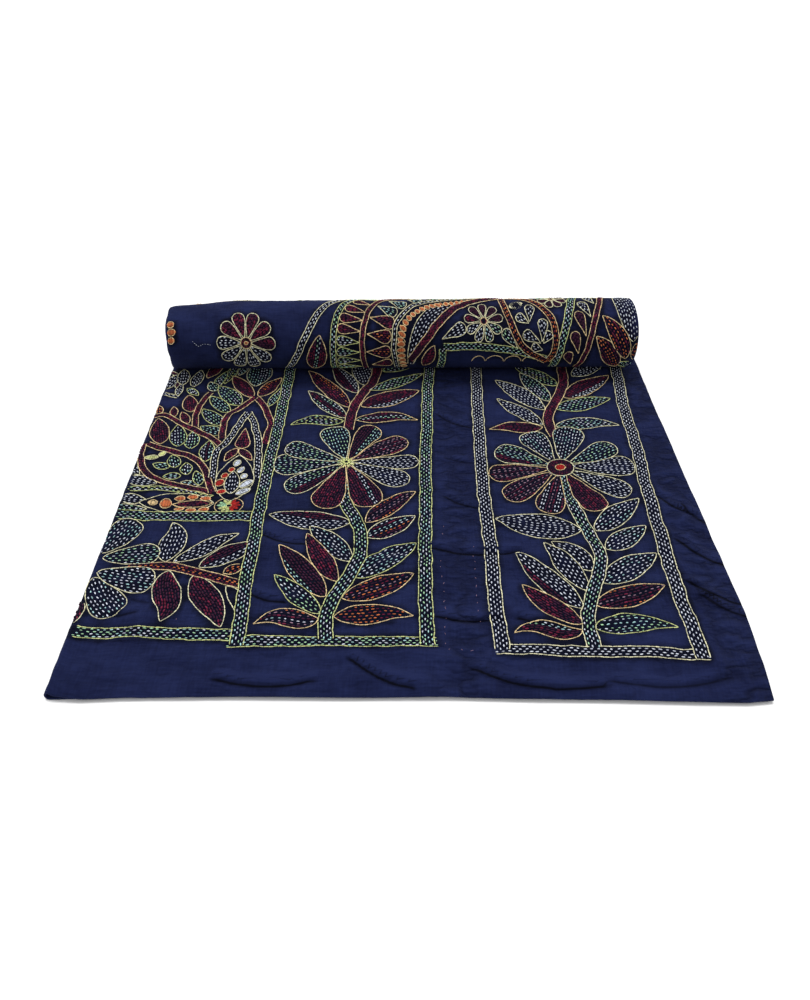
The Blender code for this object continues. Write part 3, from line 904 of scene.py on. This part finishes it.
def rollRight():
    for points in (
        [(551, 770), (547, 800), (552, 830), (563, 858), (582, 882), (620, 904)],
        [(551, 774), (576, 786), (602, 807), (621, 833), (629, 860), (628, 885), (620, 904)],
    ):
        band(points, 10, "rust", "gold")
    for one, two in (
        ((585, 843), (566, 830)), ((586, 841), (590, 811)), ((605, 872), (576, 856)),
        ((607, 870), (608, 836)), ((609, 872), (620, 855)), ((609, 882), (590, 877)),
    ):
        blade(one, two, 18, "snow", "pale", shape="drop")
    satin((556, 816), (580, 806), 17, "pale")
    band([(445, 925), (446, 880)], 11, "leafy", "lime")
    band([(446, 877), (502, 876), (571, 885), (622, 900)], 11, "leafy", "lime")
    for middle, reach in ((506, 11), (533, 15), (563, 14), (592, 13)):
        ring((middle, 904), (reach, 12), "gold", outlining, 180, 360)
    band([(633, 925), (636, 890), (642, 860), (651, 830), (663, 795), (677, 760), (690, 735)],
         12, "leafy", "lime")
    band([(674, 925), (681, 885), (690, 848), (705, 808), (716, 780), (738, 730)], 8.5, "wine", "gold")
    for one, two, thread in (
        ((678, 862), (666, 824), "maroon"), ((669, 889), (658, 855), "maroon"),
        ((662, 912), (650, 886), "maroon"), ((687, 834), (674, 803), "snow"),
        ((697, 808), (688, 782), "snow"), ((708, 786), (704, 762), "snow"),
    ):
        blade(one, two, 18, thread, "pale" if thread == "snow" else "gold", shape="drop")
    blade((750, 898), (706, 832), 27, "rust wine rust wine rust", "gold", 4)
    blade((740, 922), (695, 862), 28, "wine rust wine", "gold", 4)
    blade((755, 870), (744, 756), 38, "snow", "pale")
    blade((758, 905), (752, 925), 34, "leafy", "lime")
    blade((762, 900), (764, 868), 16, "rust", "gold")


def rollBack():
    # The stretch that comes up the back of the roll, which the photo doesn't show
    band([(20, 676), (744, 676)], 14, "mint", "lime")
    flower((124, 742), 9, "wine", "gold", None, [
        (90 + 36 * step, 40, 22, "maroon" if step < 5 else "pond", "pale") for step in range(10)
    ])
    blade((72, 712), (38, 776), 26, "plum", "gold", 4)
    blade((180, 712), (214, 776), 26, "pond", "lime", -4)
    for place in (40, 210, 250, 610, 650):
        blade((place, 690), (place - 14, 728), 18, "pond", "lime", 3)
        blade((place + 4, 690), (place + 22, 726), 18, "plum", "gold", -3)
    for place in range(290, 590, 44):
        blade((place, 688), (place + 6, 716), 20, "maroon", "gold")
    flower((600, 730), 5, "wine", "gold", None, [
        (40 * step, 26, 16, "snow" if step % 2 else "plum", "pale") for step in range(9)
    ])
    flower((716, 716), 6, "green", "lime", None, [(45 * step, 26, 18, "rust", "gold") for step in range(8)])


print("sewing the roll")
rollFlowers()
rollRight()
rollPaisley()
rollBack()
rollStitches = takeThreads()


def withinHems(stitches):
    near, far = np.minimum(stitches[:, 0], stitches[:, 2]), np.maximum(stitches[:, 0], stitches[:, 2])
    fromFold, fromHem = stretches["hemsClear"]
    return stitches[(near > fromFold) & (far < half / mm - fromHem)]


def setOnRoll(stitches):  # the roll is shorter than the apron is wide, and turned face down
    onRoll = stitches.copy()
    onRoll[:, [0, 2]] = stretches["rollStart"] + stretches["rollShare"] * onRoll[:, [0, 2]]
    onRoll = withinHems(onRoll)
    onRoll[:, [0, 2]] *= -1
    return onRoll[np.maximum(onRoll[:, 1], onRoll[:, 3]) < stretches["rollEnd"]]


def turnUnder(stitches):  # the lower half's face has the same borders, the other way round
    under = stitches[np.maximum(stitches[:, 1], stitches[:, 3]) < stretches["underEnd"]].copy()
    under[:, [0, 2]] *= -1
    return under


shownStitches, underStitches = {}, {}
for name in threads:
    apronRows = withinHems(setOnCloth(apronStitches[name]))
    shownStitches[name] = np.vstack([apronRows, setOnRoll(rollStitches.get(name, np.empty((0, 5))))])
    underStitches[name] = turnUnder(apronRows)
print("stitches:", {name: (len(shownStitches[name]), len(underStitches[name])) for name in threads})


shading = {  # how the cloth gets painted shade where it is sewn, in its crumples and along its creases, and a painted highlight on the ridges beside the creases
    "cell": 4.0, "blurs": 2, "densest": 0.42, "sparsest": 0.30,
    "plainStrip": (0.447, 0.030), "stripShare": 0.8, "margin": (0.700, 0.030),
    "crumpledEnd": 0.64, "crumpledGround": 0.30, "calmGround": 0.20,
    "farOff": 9.0, "creaseFade": (5, 3), "deepCrease": 1.5,
    "ridge": (3.0, 1.6), "deepRidge": 1.8,
}


def stitchDensity():  # how densely the cloth is sewn, to shade it and draw it in there
    cell = shading["cell"]
    columns, rows = round(2 * half / mm / cell), round(clothLay["length"] / mm / cell)
    density = np.zeros((columns, rows))
    for stitches in (*shownStitches.values(), *underStitches.values()):
        u, s = (stitches[:, 0] + stitches[:, 2]) / 2 + half / mm, (stitches[:, 1] + stitches[:, 3]) / 2
        column, row = (u / cell).astype(int), (s / cell).astype(int)
        np.add.at(density, (np.clip(column, 0, columns - 1), np.clip(row, 0, rows - 1)), 1.0)
    for _ in range(shading["blurs"]):
        for axis in (0, 1):
            density = (density + np.roll(density, 1, axis) + np.roll(density, -1, axis)) / 3

    def densityAt(u, s):
        column = np.clip(((u + half) / mm / cell).astype(int), 0, columns - 1)
        row = np.clip((s / mm / cell).astype(int), 0, rows - 1)
        return np.clip(density[column, row] / shading["densest"] - shading["sparsest"], 0, 1)
    return densityAt


def rumpledAt(u, s):  # the plain strips are crumpled, most of all by the hems
    a = np.abs(u)
    stripMiddle, stripHalf = shading["plainStrip"]
    marginStart, marginFade = shading["margin"]
    strip = bell((a - stripMiddle) / stripHalf) * shading["stripShare"] + ease((a - marginStart) / marginFade)
    onApron = (u > 0) & (s < shading["crumpledEnd"])
    return np.clip(np.where(onApron, shading["crumpledGround"] + strip, shading["calmGround"]), 0, 1)


def nearestCrease(u, s):  # how strong the nearest sharp crease is, and how far off in mm, to either side, for the painted shade along it
    strongest, farOff = np.zeros_like(u), np.full_like(u, shading["farOff"])
    fadeStart, fade = shading["creaseFade"]
    for crease in sharpCreases:
        ends, off = alongCrease(u, s, crease)
        off = off * crease[4]
        strength = ends * min(1, crease[5] / shading["deepCrease"])
        strength = strength * (1 - ease((np.abs(off) - fadeStart) / fade)) * (u > 0)
        nearer = (strength > 0) & (np.abs(off) < np.abs(farOff))
        strongest, farOff = np.where(nearer, strength, strongest), np.where(nearer, off, farOff)
    return strongest, farOff


def creaseStrengthAt(u, s):
    return nearestCrease(u, s)[0]


def creaseOffAt(u, s):
    return nearestCrease(u, s)[1]


def ridgeLightAt(u, s):  # the ridge beside each sharp crease, which gets a painted highlight
    near = np.zeros_like(u)
    ridgeOff, ridgeWidth = shading["ridge"]
    for crease in sharpCreases:
        ends, off = alongCrease(u, s, crease)
        share = min(1, crease[5] / shading["deepRidge"])
        near = np.maximum(near, ends * bell((off + ridgeOff) / ridgeWidth) * share)
    return np.where(u > 0, near, 0)


# The looks of the cloth and the threads
# The ground colour with its wear, and the colour and strengths of the painted shade between stitches, in the
# crumples and along the creases, and of the painted highlight on the ridges beside the creases
clothLook = {
    "colour": (0.0056, 0.0084, 0.0375, 1), "fadedAndLit": (0.0130, 0.0190, 0.0720, 1),
    "deep": (0.0010, 0.0013, 0.0060, 1), "crumple": 0.0030, "folds": 0.034, "weave": 0.0002,
    "weaveScale": 420, "weaveUneven": 1.2, "slubScale": 420, "shakeScale": 45, "ridgeScale": 30,
    "cloudScale": 19, "wearScale": 22, "puckerScale": 150, "sewnShade": 0.90, "crumpledShade": 0.75,
    "shake": 2.0, "sharpLine": (1.35, 0.45), "softLine": (0.75, 0.12),  # strength, and its loss per mm
    "slubs": (1.2, 0.70), "wearFrom": 0.35, "clouds": (0.43, 2.4), "ridgeHighlight": 0.9,
    "valleys": (0.62, 6.5), "puckerGround": 0.30,
    "plain": {
        "Roughness": 0.85, "Specular IOR Level": 0.06, "Sheen Weight": 0.03, "Sheen Roughness": 0.45,
        "Sheen Tint": (0.30, 0.36, 0.70, 1),
    },
}
threadLooks = {
    "pale": ("pale_thread", (0.79, 0.76, 0.49)), "lime": ("pale_thread", (0.62, 0.67, 0.27)),
    "gold": ("pale_thread", (0.80, 0.60, 0.31)), "white": ("white_thread", (0.68, 0.73, 0.90)),
    "green": ("green_thread", (0.40, 0.69, 0.42)), "teal": ("teal_thread", (0.40, 0.67, 0.68)),
    "maroon": ("maroon_thread", (0.043, 0.009, 0.030)), "ruby": ("maroon_thread", (0.145, 0.014, 0.042)),
    "rose": ("maroon_thread", (0.33, 0.20, 0.27)), "orange": ("orange_thread", (0.58, 0.145, 0.035)),
    "red": ("orange_thread", (0.45, 0.026, 0.022)),
}


threadLook = {
    "plain": {"Roughness": 0.6}, "brightFrom": 0.5,
    "bright": {"Specular IOR Level": 0.25, "Sheen Weight": 0.12},
    "dark": {"Specular IOR Level": 0.08, "Sheen Weight": 0.01},
    "darkestShare": 0.60, "brightestShare": 1.22, "twistDepth": 0.0002, "twistStrength": 0.5,
}


def newMaterial(name, sockets):
    material = bpy.data.materials.new(name)
    material.use_nodes = True
    shader = material.node_tree.nodes["Principled BSDF"]
    for socket, value in sockets.items():
        shader.inputs[socket].default_value = value
    return material, material.node_tree, shader


def uvPlace(tree, name):
    node = tree.nodes.new("ShaderNodeUVMap")
    node.uv_map = name
    return node.outputs["UV"]


def attribute(tree, name):
    node = tree.nodes.new("ShaderNodeAttribute")
    node.attribute_name = name
    return node.outputs["Fac"]


def setOrLink(tree, slot, value):  # a number or colour is set on the socket, and an output is linked to it
    if isinstance(value, (int, float, tuple)):
        slot.default_value = value
    else:
        tree.links.new(value, slot)


def mix(tree, share, one, two):
    node = tree.nodes.new("ShaderNodeMix")
    node.data_type = "RGBA"
    tree.links.new(share, node.inputs["Factor"])
    for slot, value in ((6, one), (7, two)):
        setOrLink(tree, node.inputs[slot], value)
    return node.outputs[2]


def waveBands(tree, place, direction, scale, distortion=0.0):
    node = tree.nodes.new("ShaderNodeTexWave")
    node.bands_direction = direction
    node.inputs["Scale"].default_value = scale
    node.inputs["Distortion"].default_value = distortion
    tree.links.new(place, node.inputs["Vector"])
    return node.outputs["Fac"]


def bump(tree, height, distance, normal=None, strength=1.0):
    node = tree.nodes.new("ShaderNodeBump")
    node.inputs["Strength"].default_value = strength
    node.inputs["Distance"].default_value = distance
    tree.links.new(height, node.inputs["Height"])
    if normal:
        tree.links.new(normal, node.inputs["Normal"])
    return node.outputs["Normal"]


def clothMaterial():
    look = clothLook
    material, tree, shader = newMaterial("indigoCotton", look["plain"])
    place = uvPlace(tree, "cloth")

    def noise(scale, detail, stretch=(1, 1, 1)):
        mapping = tree.nodes.new("ShaderNodeMapping")
        mapping.inputs["Scale"].default_value = stretch
        tree.links.new(place, mapping.inputs["Vector"])
        node = tree.nodes.new("ShaderNodeTexNoise")
        node.inputs["Scale"].default_value = scale
        node.inputs["Detail"].default_value = detail
        tree.links.new(mapping.outputs["Vector"], node.inputs["Vector"])
        return node.outputs["Fac"]

    def maths(operation, one, two=0.0, clamp=False):
        node = tree.nodes.new("ShaderNodeMath")
        node.operation, node.use_clamp = operation, clamp
        for slot, value in zip(node.inputs, (one, two)):
            setOrLink(tree, slot, value)
        return node.outputs["Value"]

    # Creases: painted shade, a thin dark line with a soft shade on both sides
    sewn, rumpled, ridgeLight = (attribute(tree, name) for name in ("sewn", "rumpled", "ridgeLight"))
    shaky = maths("MULTIPLY", maths("SUBTRACT", noise(look["shakeScale"], 2), 0.5), look["shake"])
    apart = maths("ABSOLUTE", maths("ADD", attribute(tree, "creaseOff"), shaky))
    sharp, soft = (
        maths("SUBTRACT", strength, maths("MULTIPLY", apart, loss), True)
        for strength, loss in (look["sharpLine"], look["softLine"])
    )
    creaseShade = maths("MULTIPLY", maths("MAXIMUM", sharp, soft), attribute(tree, "creaseStrength"))

    # Wear and painted highlight: paler slubs and clouds, and a painted highlight on the ridges beside the
    # creases
    slubScale, wearScale = look["slubScale"], look["wearScale"]
    slubs = maths("ADD", noise(slubScale, 2, (1, 0.10, 1)), noise(slubScale, 2, (0.10, 1, 1)))
    ridges = maths("ABSOLUTE", maths("SUBTRACT", noise(look["ridgeScale"], 3, (0.6, 1, 1)), 0.5))
    cloudStart, cloudShare = look["clouds"]
    clouds = maths("SUBTRACT", noise(look["cloudScale"], 4, (0.7, 1, 1)), cloudStart)
    slubShare, slubStart = look["slubs"]
    wornAndLit = maths("SUBTRACT", maths("MULTIPLY", slubs, slubShare), slubStart)
    wornAndLit = maths("MULTIPLY", wornAndLit, maths("ADD", noise(wearScale, 4), look["wearFrom"]))
    wornAndLit = maths("ADD", wornAndLit, maths("MULTIPLY", clouds, cloudShare))
    wornAndLit = maths("ADD", wornAndLit, maths("MULTIPLY", ridgeLight, look["ridgeHighlight"]), True)
    ground = mix(tree, wornAndLit, look["colour"], look["fadedAndLit"])

    # Shade: between the stitches, in the crumples' valleys and along the creases
    valleyDepth, valleyLoss = look["valleys"]
    valleys = maths("SUBTRACT", valleyDepth, maths("MULTIPLY", ridges, valleyLoss), True)
    valleys = maths("MULTIPLY", valleys, maths("MULTIPLY", rumpled, look["crumpledShade"]))
    dark = maths("MAXIMUM", maths("MULTIPLY", sewn, look["sewnShade"]), valleys)
    dark = maths("MAXIMUM", dark, creaseShade, True)
    tree.links.new(mix(tree, dark, ground, look["deep"]), shader.inputs["Base Color"])

    weaveScale, weaveUneven = look["weaveScale"], look["weaveUneven"]
    waves = (waveBands(tree, place, direction, weaveScale, weaveUneven) for direction in ("X", "Y"))
    weave = bump(tree, maths("ADD", *waves), look["weave"])
    puckers = maths("MULTIPLY", noise(look["puckerScale"], 3), maths("ADD", sewn, look["puckerGround"]))
    pucker = bump(tree, puckers, look["crumple"], weave)
    folded = bump(tree, maths("MULTIPLY", ridges, rumpled), look["folds"], pucker)
    tree.links.new(folded, shader.inputs["Normal"])
    return material


def threadMaterial(name, colour):
    look = threadLook
    gloss = look["bright" if max(colour) > look["brightFrom"] else "dark"]
    material, tree, shader = newMaterial(name + "Cotton", {**look["plain"], **gloss})
    darkest = (*(channel * look["darkestShare"] for channel in colour), 1)
    brightest = (*(min(1, channel * look["brightestShare"]) for channel in colour), 1)
    shaded = mix(tree, attribute(tree, "shade"), darkest, brightest)
    tree.links.new(shaded, shader.inputs["Base Color"])
    twist = waveBands(tree, uvPlace(tree, "twist"), "DIAGONAL", 1.0)
    twisted = bump(tree, twist, look["twistDepth"], strength=look["twistStrength"])
    tree.links.new(twisted, shader.inputs["Normal"])
    return material


stitchBody = {
    "plump": 1.15, "sunk": 0.10, "overrun": 1.06, "height": 0.85,
    "shownRings": 3, "underRings": 2, "twists": 2.2,
}


def stitchShape(rings):  # one plump stitch, 1 long, 1 wide and 1 high
    shape = bmesh.new()
    bmesh.ops.create_uvsphere(shape, u_segments=4, v_segments=rings, radius=0.5)
    bmesh.ops.triangulate(shape, faces=shape.faces)
    for vertex in shape.verts:
        vertex.co = (vertex.co.z, vertex.co.x * stitchBody["plump"], vertex.co.y * stitchBody["plump"])
    bmesh.ops.recalc_face_normals(shape, faces=shape.faces)
    places = np.array([vertex.co[:] for vertex in shape.verts])
    faces = np.array([[vertex.index for vertex in face.verts] for face in shape.faces])
    shape.free()
    return places, faces


def placeStitches(rows, places):
    start, up0 = clothSurface(rows[:, 0] * mm, rows[:, 1] * mm)
    end, up1 = clothSurface(rows[:, 2] * mm, rows[:, 3] * mm)
    up = up0 + up1
    up /= np.linalg.norm(up, axis=1)[:, None]
    along = end - start
    side = np.cross(up, along)
    side /= np.linalg.norm(side, axis=1)[:, None]
    width = (rows[:, 4] * mm)[:, None]
    centre = (start + end) / 2 + up * (clothMesh["thickness"] / 2 + width * stitchBody["sunk"])
    where = centre[:, None] + places[None, :, 0:1] * along[:, None] * stitchBody["overrun"]
    where = where + places[None, :, 1:2] * (side * width)[:, None]
    return where + places[None, :, 2:3] * (up * width * stitchBody["height"])[:, None]


def makeStitches(name):
    # The stitches that show are rounder than the ones on the quilt's underside
    where, faces, shades, twists = [], [], [], []
    draw, used = np.random.default_rng(len(name)), 0
    kinds = ((shownStitches[name], stitchBody["shownRings"]), (underStitches[name], stitchBody["underRings"]))
    for rows, rings in kinds:
        places, corners = stitchShape(rings)
        where.append(placeStitches(rows, places).reshape(-1, 3))
        first = used + np.arange(len(rows))[:, None, None] * len(places)
        faces.append((corners[None] + first).reshape(-1, 3))
        shades.append(np.repeat(draw.uniform(0, 1, len(rows)), len(places)))
        around = np.arctan2(places[:, 2], places[:, 1]) / (2 * math.pi)
        template = np.column_stack([places[:, 0] * stitchBody["twists"], around])[corners.reshape(-1)]
        twists.append(np.tile(template, (len(rows), 1)))
        used += len(rows) * len(places)
    mesh = bpy.data.meshes.new(name + "Stitches")
    mesh.from_pydata(np.vstack(where), [], np.vstack(faces))
    mesh.shade_smooth()
    shade = mesh.attributes.new("shade", "FLOAT", "POINT")
    shade.data.foreach_set("value", np.concatenate(shades).astype(np.float32))
    twist = mesh.uv_layers.new(name="twist")
    twist.data.foreach_set("uv", np.vstack(twists).astype(np.float32).reshape(-1))
    piece = addObject(name + "Stitches", mesh)
    slotName, colour = threadLooks[name]
    mesh.materials.append(threadMaterial(name, colour))
    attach(piece, "root")
    return piece


print("laying the cloth")
cloth = makeCloth(stitchDensity())
cloth.data.materials.append(clothMaterial())
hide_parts("quilt")
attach(cloth, "root")
print("placing the stitches")
stitchPieces = [makeStitches(name) for name in threads]

# The view and the light. The camera is placed from the left fold and the front hem
view = {
    "fromLeft": 0.3766, "inFront": 0.4686, "height": 0.7101, "down": 42.5,
    "lens": 28.285, "sensor": 36, "nearest": 0.01,
}
studio = {
    "floorSize": 9, "floorDrop": 0.0008,
    "floor": {"Base Color": (0.95, 0.95, 0.95, 1), "Roughness": 0.9, "Specular IOR Level": 0.1},
    "lampPlace": (-0.2, 0.75, 2.0), "lampSpread": 26, "lampPower": 2.3,
    "sky": 0.72, "skyColour": (1, 1, 1, 1),
}


def makeFloor():
    shape = bmesh.new()
    bmesh.ops.create_grid(shape, x_segments=1, y_segments=1, size=studio["floorSize"])
    mesh = bpy.data.meshes.new("paleFloor")
    shape.to_mesh(mesh)
    shape.free()
    floor = addObject("paleFloor", mesh)
    floor.location.z = -studio["floorDrop"]
    mesh.materials.append(newMaterial("paleFloor", studio["floor"])[0])


def makeLight():  # a broad soft lamp, far off, which shines at the origin
    light = bpy.data.lights.new("overhead", "SUN")
    light.angle, light.energy = math.radians(studio["lampSpread"]), studio["lampPower"]
    lamp = addObject("overhead", light)
    lamp.location = studio["lampPlace"]
    x, y, z = (-reach for reach in studio["lampPlace"])
    lamp.rotation_euler = (math.atan2(math.hypot(x, y), -z), 0, math.atan2(y, x) - math.pi / 2)


def makeView():
    camera = bpy.data.cameras.new("photoView")
    camera.sensor_fit, camera.sensor_height, camera.lens = "VERTICAL", view["sensor"], view["lens"]
    camera.clip_start = view["nearest"]
    eye = addObject("photoView", camera)
    eye.location = (leftEdge + view["fromLeft"], frontHem - view["inFront"], view["height"])
    eye.rotation_euler = (math.radians(90 - view["down"]), 0, 0)
    bpy.context.scene.camera = eye
    world = bpy.data.worlds.new("studio")
    world.use_nodes = True
    sky = world.node_tree.nodes["Background"]
    sky.inputs["Color"].default_value = studio["skyColour"]
    sky.inputs["Strength"].default_value = studio["sky"]
    bpy.context.scene.world = world
    bpy.context.scene.view_settings.view_transform = "Standard"


print("setting the view and the light")
makeFloor()
makeLight()
makeView()
